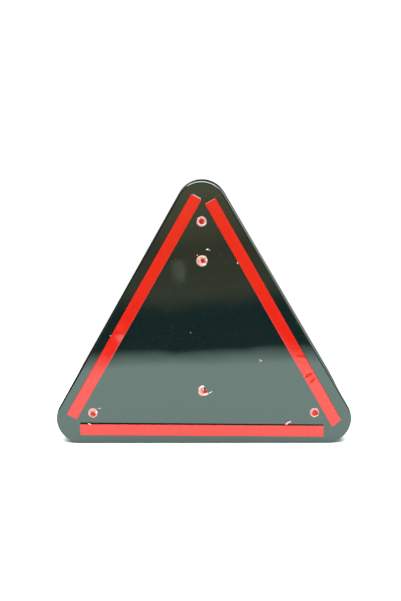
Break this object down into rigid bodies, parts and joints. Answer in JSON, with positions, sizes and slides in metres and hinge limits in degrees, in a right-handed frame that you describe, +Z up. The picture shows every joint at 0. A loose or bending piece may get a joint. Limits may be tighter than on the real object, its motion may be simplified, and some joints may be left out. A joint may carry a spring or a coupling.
{
  "type": "triangular reflector",
  "caption": "Triangular red reflex reflector in a black plastic housing, with foam tape strips under peel-off liners on its flat back and heat-staked lens pins.",
  "frame": {"origin": "middle of the base, where the lower edge stands, halfway through the depth from the liners to the lens", "axes": "+X across to the right as seen from the adhesive side, +Y towards the reflex lens at the front, +Z up to the apex"},
  "size_m": [0.156, 0.013, 0.1387],
  "materials": {
    "black_plastic": "high gloss moulded ABS",
    "red_lens": "clear red moulded acrylic",
    "melted_lens": "melted and stress-whitened red acrylic",
    "black_foam": "matt closed-cell foam",
    "red_film": "smooth polyethylene film"
  },
  "bodies": {
    "root": {"housing": "black_plastic", "lens": "red_lens", "stake_head_top": "melted_lens", "stake_head_upper": "melted_lens", "stake_head_lower": "melted_lens", "stake_head_left": "melted_lens", "stake_head_right": "melted_lens", "foam_tape_left": "black_foam", "foam_tape_right": "black_foam", "foam_tape_bottom": "black_foam"},
    "liner_left": {"liner_left": "red_film"},
    "liner_right": {"liner_right": "red_film"},
    "liner_bottom": {"liner_bottom": "red_film"}
  },
  "joints": [
    {"name": "liner_left_lift", "type": "slide", "parent": "root", "child": "liner_left", "axis": [0, -1, 0], "range_m": [0, 0.03]},
    {"name": "liner_right_lift", "type": "slide", "parent": "root", "child": "liner_right", "axis": [0, -1, 0], "range_m": [0, 0.03]},
    {"name": "liner_bottom_lift", "type": "slide", "parent": "root", "child": "liner_bottom", "axis": [0, -1, 0], "range_m": [0, 0.03]}
  ]
}
